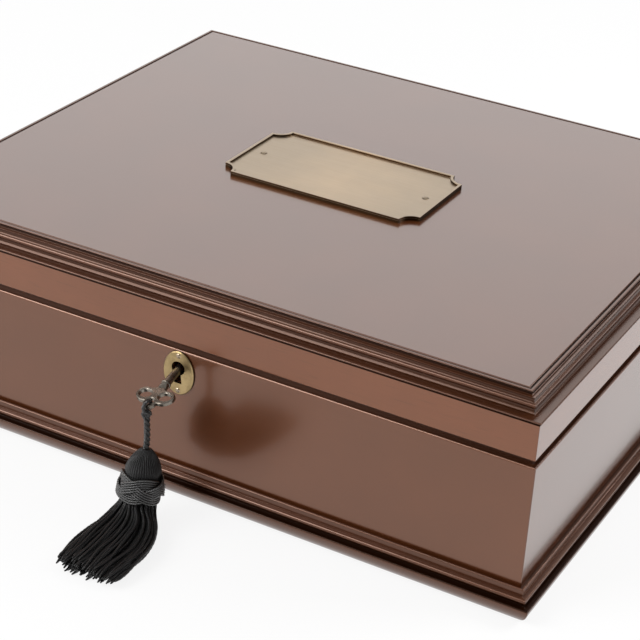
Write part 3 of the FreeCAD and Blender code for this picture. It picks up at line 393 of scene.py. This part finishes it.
def threadFinish(name, low, high, rough, shine, coat):
    finish, tree, shader, where = newFinish(name, {
        "Roughness": rough, "Sheen Weight": thread["sheen"], "Sheen Roughness": thread["sheenRough"],
        "Specular IOR Level": shine, "Coat Weight": coat, "Coat Roughness": thread["coatRough"]})
    mapped = tree.nodes.new("ShaderNodeUVMap").outputs["UV"]
    slant = addNode(tree, "ShaderNodeMapping", {"Vector": mapped, "Rotation": (0, 0, thread["slant"]),
                                                "Scale": thread["stretch"]}).outputs[0]
    fine = addNode(tree, "ShaderNodeTexWave", {"Vector": slant, **thread["filament"]}).outputs["Fac"]
    drift = addSpan(tree, addNoise(tree, where, thread["drift"], detail=2.0), thread["driftLow"], 1.0)
    tone = addRamp(tree, fine, list(zip(thread["fineStops"], (low, high))))
    tree.links.new(addMix(tree, 1.0, tone, drift, "MULTIPLY"), shader.inputs["Base Color"])
    addBump(tree, shader, fine, thread["bump"], thread["deep"])
    return finish


blackThread = threadFinish("blackThread", (0.0016, 0.0015, 0.0016), (0.008, 0.0076, 0.0078),
                           rough=0.32, shine=0.42, coat=0.0)
# the cord's and the collar's copies of the one thread are lighter and shinier than the head's and skirt's: a
# painted highlight for the glints they catch
litCordThread = threadFinish("litCordThread", (0.0016, 0.0014, 0.0013), (0.010, 0.0084, 0.0074),
                          rough=0.28, shine=0.75, coat=0.1)
litCollarThread = threadFinish("litCollarThread", (0.0020, 0.0018, 0.0016), (0.012, 0.0102, 0.0088),
                            rough=0.27, shine=1.0, coat=0.35)
print("finishes mixed")


# tassel places, repeated from the CAD: knot under the key's ring, head on a lean, skirt bent on to the table
tassel = {"ring": (0, -172.674, 57.835), "knot": (0, -172.674, 54.085), "headTop": (0, -172.674, 36.135),
          "lean": 13.0, "keyAxis": (0, -0.96593, -0.25882)}
lean = math.radians(tassel["lean"])
headAxis = np.array((0, -math.sin(lean), -math.cos(lean)))
headFront = np.array((0, -math.cos(lean), math.sin(lean)))
headSide = np.array((1.0, 0, 0))
headTop = np.array(tassel["headTop"])

# hanging cord: three strands laid round the line of a NURBS spline, whose route starts at the knot
cordSet = {"route": [(0, 0, 0), (0, 0, -6), (0.5, -0.2, -12), (-0.3, 0, -19), (0, 0, -25), (0, 0, -30.4)],
           "fine": 24, "order": 3, "steps": 130, "strands": 3, "layRadius": 0.80, "lay": 7.5,
           "cord": 0.78, "sides": 10, "plies": 2, "dent": 0.26, "pitch": 2.6}


def splineLine(name, route):
    curve = bpy.data.curves.new(name, "CURVE")
    curve.dimensions = "3D"
    curve.resolution_u = cordSet["fine"]
    spline = curve.splines.new("NURBS")
    spline.points.add(len(route) - 1)
    spline.points.foreach_set("co", np.c_[route * mm, np.ones(len(route))].ravel())
    spline.order_u = cordSet["order"]
    spline.use_endpoint_u = True
    holder = bpy.data.objects.new(name, curve)
    bpy.context.scene.collection.objects.link(holder)
    line = bpy.data.meshes.new_from_object(holder)
    points = np.zeros(len(line.vertices) * 3, np.float32)
    line.vertices.foreach_get("co", points)
    bpy.data.objects.remove(holder)
    return points.reshape(-1, 3).astype(float) / mm


# points spaced evenly along a line, and how far along it each one is
def evenly(line, count):
    run = np.r_[0, np.cumsum(np.linalg.norm(np.diff(line, axis=0), axis=1))]
    at = np.linspace(0, run[-1], count)
    return np.stack([np.interp(at, run, line[:, k]) for k in range(3)], 1), at


def makeCord():
    route = np.array(tassel["knot"]) + np.array(cordSet["route"])
    line, run = evenly(splineLine("cordRoute", route), cordSet["steps"])
    strand = np.arange(cordSet["strands"])[:, None] / cordSet["strands"]
    turn = 2 * np.pi * (run / cordSet["lay"] + strand)
    ring = np.stack([np.cos(turn), np.sin(turn), 0 * turn], -1)
    skin = tubes(line + ring * cordSet["layRadius"], ring, cordSet)
    piece = makePiece("tassel_cord_twisted", *skin[:3], litCordThread, "tassel", "black_thread", ["tassel_cord"],
                      skin[3])
    return piece, line


hangingCord, hangingLine = makeCord()
print("cord laid")


# loop round the ring: a two-ply cord on a circle near the plane x = 0, open where the knot closes it; it
# leans out of that plane by the sine of the turn
loopSet = {"radius": 2.5, "tilt": 0.35, "open": 0.62, "steps": 60,
           "cord": 0.9, "sides": 12, "plies": 2, "dent": 0.22, "pitch": 4.2}


def makeLoop():
    turn = np.linspace(loopSet["open"], 2 * np.pi - loopSet["open"], loopSet["steps"])
    circle = np.stack([loopSet["tilt"] * np.sin(turn), np.sin(turn) * loopSet["radius"],
                       -np.cos(turn) * loopSet["radius"]], -1)
    skin = tubes((np.array(tassel["ring"]) + circle)[None], headSide, loopSet)
    return makePiece("tassel_loop_cord", *skin[:3], litCordThread, "key", "black_thread", ["tassel_loop"],
                     skin[3])


# knot: the cord wound two and a half turns round the key's direction; the coil swells and narrows by a
# sine of three times the turn
knotSet = {"coil": 1.32, "length": 3.3, "turns": 2.5, "steps": 110, "swell": 0.06, "swells": 3,
           "cord": 0.82, "sides": 12, "plies": 2, "dent": 0.2, "pitch": 4.0}


def makeKnot():
    axis = np.array(tassel["keyAxis"])
    rise = np.cross(axis, headSide)
    turn = np.linspace(0, 1, knotSet["steps"])
    angle = np.pi / 2 + 2 * np.pi * knotSet["turns"] * turn
    size = knotSet["coil"] * (1 + knotSet["swell"] * np.sin(knotSet["swells"] * angle))
    path = (axis * ((turn - 0.5) * knotSet["length"])[:, None]
            + headSide * (np.cos(angle) * size)[:, None] + rise * (np.sin(angle) * size)[:, None])
    skin = tubes((np.array(tassel["knot"]) + path)[None], axis, knotSet)
    return makePiece("tassel_knot_wound", *skin[:3], litCordThread, "tassel", "black_thread", ["tassel_knot"],
                     skin[3])


# head: a turned dome whose radius ripples once for each thread that folds down from the cord, less so where
# the dome is narrow
headSet = {"neck": 2.3, "radius": 8.2, "shoulder": 9.5, "swell": 0.9, "length": 24.0, "bend": 28,
           "threads": 44, "dent": 0.5, "fullAt": 6, "around": 352, "slant": 0.35}


def makeHead():
    around, threads = headSet["around"], headSet["threads"]
    line = profileLine((headSet["neck"], 0), [(headSet["radius"], headSet["shoulder"], headSet["swell"]),
                                              (headSet["radius"], headSet["length"])], headSet["bend"])
    turn = 2 * np.pi * np.arange(around) / around
    phase = threads / 2 * (turn + headSet["slant"] * line[:, 1:] / headSet["length"])
    full = np.minimum(1, line[:, :1] / headSet["fullAt"])
    size = line[:, :1] - headSet["dent"] * (1 - np.abs(np.cos(phase))) * full
    across = headSide * np.cos(turn)[:, None] + headFront * np.sin(turn)[:, None]
    points = headTop + headAxis * line[:, 1][:, None, None] + across * size[..., None]
    quads, places = gridQuads(len(line), around, closeCols=True)
    uv = np.stack([places[..., 1] * threads / around, line[places[..., 0], 1]], -1)
    last = (len(line) - 1) * around
    caps = [range(around), range(last, last + around)]
    return makePiece("tassel_head_threads", points, quads, caps, blackThread, "tassel", "black_thread",
                     ["tassel_head"], uv)


# woven collar: a three-lead knot with four bights, each lead five cords side by side. Round the head the line
# swings along the axis as a cosine of 4/3 of the turn; it stands off by the squared sine of that, times one
# plus the sine of twice it, so that leads cross over and under and the bights close in on the head
collarSet = {"start": 11.3, "length": 13.0, "bights": 4, "leads": 3, "spacing": 1.08, "strands": 5,
             "inner": 8.25, "weave": 1.1, "steps": 900,
             "cord": 0.60, "sides": 8, "plies": 2, "dent": 0.30, "pitch": 2.4}


def makeCollar():
    turn = np.linspace(0, 2 * np.pi * collarSet["leads"], collarSet["steps"])
    swing = collarSet["bights"] / collarSet["leads"]
    strand = np.arange(collarSet["strands"]) - (collarSet["strands"] - 1) / 2
    offset = strand[:, None] * collarSet["spacing"]
    reach = collarSet["length"] / 2 - offset.max() - collarSet["cord"]
    middle = collarSet["start"] + collarSet["length"] / 2
    inside = collarSet["inner"] + collarSet["cord"]
    depth = inside + collarSet["weave"]
    rise, slope = reach * np.cos(swing * turn), -reach * swing * np.sin(swing * turn)
    aside = unit(np.stack([-slope, np.full_like(slope, depth)], -1))
    angle = turn + offset * aside[:, 0] / depth
    along = middle + rise + offset * aside[:, 1]
    lift = np.sin(swing * turn) ** 2 * (1 + np.sin(2 * swing * turn))
    out = inside + collarSet["weave"] * lift + 0 * offset
    across = headSide * np.cos(angle)[..., None] + headFront * np.sin(angle)[..., None]
    paths = headTop + headAxis * along[..., None] + across * out[..., None]
    skin = tubes(paths, across, collarSet)
    return makePiece("tassel_collar_woven", *skin[:3], litCollarThread, "tassel", "black_thread",
                     ["tassel_collar"], skin[3])


# skirt: threads spread like sunflower seeds over oval sections, from the collar down and out along the table;
# between sections each thread is a cubic whose slope at a section is the mean of its two runs, each weighed
# by the other's length. Farther out the threads wave as sines of their length, and where one would sink into
# the table it is pressed flat. Each section is its shift, way forward, half width, half height and tilt
skirtSet = {"threads": 112, "steps": 60, "spread": 0.97, "jitter": 0.12, "full": 1.02, "fray": 0.09,
            "frayPower": 1.6, "root": (0, -178.16, 12.36), "foot": 1.0,
            "sections": [(0, -4, 8.0, 8.0, 13), (0, 0, 8.1, 8.0, 13), (2.8, 9, 13.0, 6.9, 55),
                         (4.7, 23, 16.7, 4.7, 80), (4.1, 49, 15.9, 3.0, 87)],
            "looseFrom": 8, "looseOver": 40, "loosePower": 1.3, "wave": 0.8, "waveUp": 0.6, "waveRun": (4, 9),
            "wavePhase": 6.28, "floor": 0.3, "press": 0.15, "lowest": 0.05, "taper": 14, "tip": 0.45,
            "cord": 0.76, "sides": 9, "plies": 2, "dent": 0.24, "pitch": 3.0}


def makeSkirt():
    count = skirtSet["threads"]
    order = np.arange(count)
    reach = np.sqrt((order + 0.5) / count) * skirtSet["spread"]
    angle = order * np.pi * (3 - math.sqrt(5)) + rng.normal(0, skirtSet["jitter"], count)
    across, height = reach * np.cos(angle), reach * np.sin(angle)
    root = np.array(skirtSet["root"])
    stations = []
    for shift, forward, halfWidth, halfHeight, pitch in skirtSet["sections"]:
        tip = math.radians(pitch)
        if forward <= 0:
            middle = root + headAxis * forward
        else:
            middle = np.array((shift, root[1] - forward, skirtSet["foot"] + halfHeight * math.sin(tip)))
        rise = np.array((0, -math.cos(tip), math.sin(tip)))
        stations.append(middle + headSide * (halfWidth * across)[:, None]
                        + rise * (halfHeight * height)[:, None])
    knots = np.stack(stations, 1)
    span = np.linalg.norm(np.diff(knots, axis=1), axis=2)
    slope = np.diff(knots, axis=1) / span[..., None]
    inner = slope[:, :-1] * span[:, 1:, None] + slope[:, 1:] * span[:, :-1, None]
    inner = inner / (span[:, 1:] + span[:, :-1])[..., None]
    slope = np.concatenate([slope[:, :1], inner, slope[:, -1:]], 1)
    ends = np.r_[0, np.cumsum(span.mean(0))]
    frayed = skirtSet["full"] - skirtSet["fray"] * rng.random(count) ** skirtSet["frayPower"]
    at = np.linspace(0, 1, skirtSet["steps"]) * (ends[-1] * frayed)[:, None]
    leg = np.clip(np.searchsorted(ends, at, "right") - 1, 0, len(ends) - 2)
    t = ((at - ends[leg]) / (ends[leg + 1] - ends[leg]))[..., None]
    pick = order[:, None]
    a, b, sa, sb = knots[pick, leg], knots[pick, leg + 1], slope[pick, leg], slope[pick, leg + 1]
    stretch = span[pick, leg][..., None]
    paths = ((2 * t**3 - 3 * t**2 + 1) * a + (t**3 - 2 * t**2 + t) * stretch * sa
             + (3 * t**2 - 2 * t**3) * b + (t**3 - t**2) * stretch * sb)
    loose = np.clip((at - skirtSet["looseFrom"]) / skirtSet["looseOver"], 0, 1) ** skirtSet["loosePower"]
    for axis, size in ((0, skirtSet["wave"]), (2, skirtSet["wave"] * skirtSet["waveUp"])):
        run = rng.uniform(*skirtSet["waveRun"], (count, 1))
        phase = rng.uniform(0, skirtSet["wavePhase"], (count, 1))
        paths[..., axis] += size * loose * np.sin(at / run + phase)
    low = skirtSet["cord"] + skirtSet["floor"]
    above = paths[..., 2] - low
    paths[..., 2] = low + np.where(above < 0, skirtSet["press"] * above, above)
    paths[..., 2] = np.maximum(paths[..., 2], skirtSet["cord"] + skirtSet["lowest"])
    left = 1 - np.linspace(0, 1, skirtSet["steps"])
    thin = np.clip(left * skirtSet["taper"] + skirtSet["tip"], 0, 1) * np.ones((count, 1))
    skin = tubes(paths, headSide, skirtSet, thin)
    return makePiece("tassel_skirt_threads", *skin[:3], blackThread, "tassel", "black_thread",
                     ["tassel_skirt"], skin[3])


makeLoop()
knotWound = makeKnot()
headThreads = makeHead()
collarWoven = makeCollar()
skirtThreads = makeSkirt()
print("tassel tied")


# box: outside faces and the lid's level, as the CAD has them. A profile's step is its way out from the face
# and its height, with the swell of an arc as a third number
carcass = {"halfWidth": 171.8, "halfDepth": 147.0, "wall": 13.0, "lidTopFoot": 94.6, "bend": 12, "sharp": 28,
           "ease": 0.24, "easeSteps": 3}
sides = ("front", "right", "back", "left")
plinthSteps = [(2.0, 0), (7.0, 7.8, 1.0), (7.0, 8.4), (6.6, 8.8), (3.9, 8.8), (3.9, 9.9), (3.9, 12.0, 0.75),
               (2.3, 12.0), (2.3, 15.2), (1.9, 15.6), (1.3, 15.6), (1.3, 14.2), (0, 14.2)]
lidSteps = [(0, 94.6), (0, 94.8), (-0.5, 95.3, 0.146), (-5.0, 95.3), (-6.1, 97.5, -0.25), (-6.3, 99.6, 0.8),
            (-6.7, 101.9, -0.4), (-8.5, 101.9), (-8.5, 103.3), (-8.9, 103.7, 0.117), (-9.8, 103.7),
            (-10.45, 103.0), (-11.1, 103.7), (-13.0, 103.7)]


def easeEdges(piece):
    bevel = piece.modifiers.new("easedEdges", "BEVEL")
    bevel.width = carcass["ease"] * mm
    bevel.segments = carcass["easeSteps"]
    bevel.limit_method = "ANGLE"
    bevel.angle_limit = math.radians(carcass["sharp"])


# plinth side: the profile runs to the mitres, a point u out from the face ending u past each corner
def makePlinth(turn, side):
    line = profileLine((0, 0), plinthSteps, carcass["bend"])
    halves = (carcass["halfWidth"], carcass["halfDepth"])[::1 if turn % 2 == 0 else -1]
    x = np.array((-1, 1)) * (halves[0] + line[:, :1])
    flat = np.stack([x, -halves[1] - line[:, :1] + 0 * x, line[:, 1:] + 0 * x], -1)
    c, s = round(math.cos(turn * math.pi / 2)), round(math.sin(turn * math.pi / 2))
    points = np.stack([c * flat[..., 0] - s * flat[..., 1], s * flat[..., 0] + c * flat[..., 1],
                       flat[..., 2]], -1)
    quads, _ = gridQuads(len(line), 2, closeRows=True)
    caps = [range(0, 2 * len(line), 2), range(1, 2 * len(line), 2)]
    easeEdges(makePiece("plinth_" + side + "_moulded", points, quads, caps, plinthWood[turn % 2], "base",
                        "walnut", ["plinth_" + side], sharp=carcass["sharp"]))


# lid board: the border's profile carried round the four mitred corners, closed by a panel above and below;
# the panels and the border's last strip have the top's wood, the rest that of its own side
def makeLidBoard():
    line = profileLine((-carcass["wall"], carcass["lidTopFoot"]), lidSteps, carcass["bend"])
    corners = np.array(((-1, -1), (1, -1), (1, 1), (-1, 1)))
    halves = np.array((carcass["halfWidth"], carcass["halfDepth"]))
    flat = corners * (halves + line[:, :1])[:, None]
    points = np.concatenate([flat, np.broadcast_to(line[:, 1, None, None], flat.shape[:2] + (1,))], -1)
    quads, places = gridQuads(len(line), 4, closeCols=True)
    last = 4 * (len(line) - 1)
    piece = makePiece("lid_top_moulded", points, quads, [range(4), range(last, last + 4)],
                      lidWood + [topWood], "lid", "walnut", ["lid_top"], sharp=carcass["sharp"])
    which = np.r_[places[:-4, 0, 1] % 2, [2] * 6]
    piece.data.polygons.foreach_set("material_index", which.astype(np.int32))
    easeEdges(piece)


for turn, side in enumerate(sides):
    makePlinth(turn, side)
makeLidBoard()
print("mouldings run")


# linings: a sheet with rolled edges and a faint unevenness, height falling to its border as a rounded step.
# The unevenness is a sine along x times a sine along y
sheetSet = {"rows": 61, "cols": 53, "uneven": 0.06, "waveX": 17, "waveY": 13, "shiftY": 1, "clear": 0.08}


def makeSheet(name, node, finish, body, slot, up, thick, roll):
    low, high = (np.array(corner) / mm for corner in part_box(node))
    rows, cols = sheetSet["rows"], sheetSet["cols"]
    u, v = np.meshgrid(np.linspace(0, 1, rows), np.linspace(0, 1, cols), indexing="ij")
    x, y = low[0] + (high[0] - low[0]) * u, low[1] + (high[1] - low[1]) * v
    edge = np.minimum(np.minimum(x - low[0], high[0] - x), np.minimum(y - low[1], high[1] - y))
    fall = np.sqrt(np.clip(1 - (1 - np.clip(edge / roll, 0, 1)) ** 2, 0, 1))
    wave = np.sin(x / sheetSet["waveX"]) * np.sin(y / sheetSet["waveY"] + sheetSet["shiftY"])
    rise = high[2] - low[2] - thick - sheetSet["clear"]
    height = thick + (rise + sheetSet["uneven"] * wave) * fall
    z = low[2] + height if up else high[2] - height
    quads, _ = gridQuads(rows, cols)
    piece = makePiece(name, np.stack([x, y, z], -1), quads, [], finish, body, slot, [node])
    if (piece.data.polygons[0].normal.z > 0) != up:
        piece.data.flip_normals()
    wall = piece.modifiers.new("clothThickness", "SOLIDIFY")
    wall.thickness = thick * mm
    wall.offset = -1


makeSheet("floor_lining_velvet", "floor_lining", velvet, "base", "lining",
          up=True, thick=0.5, roll=3.0)
makeSheet("lid_lining_velvet", "lid_lining", velvet, "lid", "lining",
          up=False, thick=0.5, roll=3.0)
makeSheet("underside_felt_sheet", "underside_felt", felt, "base", "felt",
          up=False, thick=0.6, roll=1.5)
print("linings laid")


# finishes of the CAD nodes that stay
finishes = {"floor_panel": plywood, "nameplate": antiqueBrass, "nameplate_pins": pinBrass,
            "escutcheon": agedBrass, "escutcheon_pins": pinBrass, "key": pewter}
for turn, side in enumerate(sides):
    finishes["base_" + side] = walnut[turn % 2]
    finishes["lid_" + side] = railWood[turn % 2]
brassFittings = ["lock_plate", "lock_screws", "strike_plate", "strike_screws"]
brassFittings += [name for name in nodes if name.startswith("hinge")]
finishes.update({name: polishedBrass for name in brassFittings})
finishes.update({name: lockSteel for name in ("lock_case", "lock_bolt", "bolt_spring", "strike_staples")})
for name, finish in finishes.items():
    nodes[name].data.materials.clear()
    nodes[name].data.materials.append(finish)
print("nodes finished:", len(finishes))


# stage: a pale floor that is white to the camera and in reflections, a soft grey room that fades to white at
# the horizon, and soft boxes, each with its place, aim, width, depth and power
stage = {"floor": 120.0, "paper": 0.9, "white": 0.86, "horizon": 0.95,
         "haze": [(0.0, 1.0), (0.52, 1.0), (0.60, 0.0)],
         "room": [(0.0, 0.5), (0.5, 0.12), (0.66, 0.10), (0.80, 0.45), (1.0, 0.6)],
         "boxes": {"front": ((-0.75, -1.05, 0.95), (0, 0, 0.05), 0.9, 0.9, 16.0),
                   "behind": ((-0.95, 1.75, 1.15), (0, 0, 0.1), 1.9, 1.3, 9.3),
                   "left": ((-1.9, -0.9, 0.8), (0, 0, 0.05), 0.9, 0.9, 9.0),
                   "right": ((0.80, 0.40, 0.60), (0.40, 0.25, 0), 0.5, 0.4, 7.0)}}


# rays that show the background: from the camera, in reflections and through glass
def seenRays(tree):
    rays = tree.nodes.new("ShaderNodeLightPath").outputs
    seen = addMath(tree, "ADD", rays["Is Camera Ray"], rays["Is Glossy Ray"])
    return addMath(tree, "ADD", seen, rays["Is Transmission Ray"], clamp=True)


def makeFloor():
    half = stage["floor"] / 2
    mesh = bpy.data.meshes.new("floor")
    corners = [(-half, -half, 0), (half, -half, 0), (half, half, 0), (-half, half, 0)]
    mesh.from_pydata(corners, [], [(0, 1, 2, 3)])
    floor = bpy.data.objects.new("floor", mesh)
    bpy.context.scene.collection.objects.link(floor)
    paper = bpy.data.materials.new("paleFloor")
    paper.use_nodes = True
    tree = paper.node_tree
    tree.nodes.clear()
    share = addMath(tree, "MULTIPLY", seenRays(tree), stage["white"])
    matt = addNode(tree, "ShaderNodeBsdfDiffuse", {"Color": rgb(*[stage["paper"]] * 3)})
    glow = addNode(tree, "ShaderNodeEmission", {"Color": rgb(1, 1, 1), "Strength": 1.0})
    both = addNode(tree, "ShaderNodeMixShader", {0: share, 1: matt.outputs[0], 2: glow.outputs[0]})
    tree.links.new(both.outputs[0], tree.nodes.new("ShaderNodeOutputMaterial").inputs["Surface"])
    mesh.materials.append(paper)


def makeRoom():
    world = bpy.data.worlds.new("softRoom")
    bpy.context.scene.world = world
    world.use_nodes = True
    tree = world.node_tree
    where = tree.nodes.new("ShaderNodeTexCoord").outputs["Generated"]
    up = addNode(tree, "ShaderNodeSeparateXYZ", {0: where}).outputs["Z"]
    level = addNode(tree, "ShaderNodeMapRange", {"Value": up, "From Min": -1.0, "From Max": 1.0}).outputs[0]
    haze = addMath(tree, "MULTIPLY", addRamp(tree, level, stage["haze"]), seenRays(tree))
    room = addMix(tree, haze, addRamp(tree, level, stage["room"]), rgb(*[stage["horizon"]] * 3))
    tree.links.new(room, tree.nodes["Background"].inputs["Color"])


def makeLamps():
    for name, (place, target, width, depth, power) in stage["boxes"].items():
        lamp = bpy.data.lights.new(name, "AREA")
        lamp.shape = "RECTANGLE"
        lamp.size, lamp.size_y, lamp.energy = width, depth, power
        box = bpy.data.objects.new(name, lamp)
        aim = unit(np.array(place) - np.array(target))
        side = unit(np.cross((0, 0, 1.0), aim))
        box.matrix_world = posed(place, side, np.cross(aim, side), aim)
        bpy.context.scene.collection.objects.link(box)


makeFloor()
makeRoom()
makeLamps()
print("stage lit")
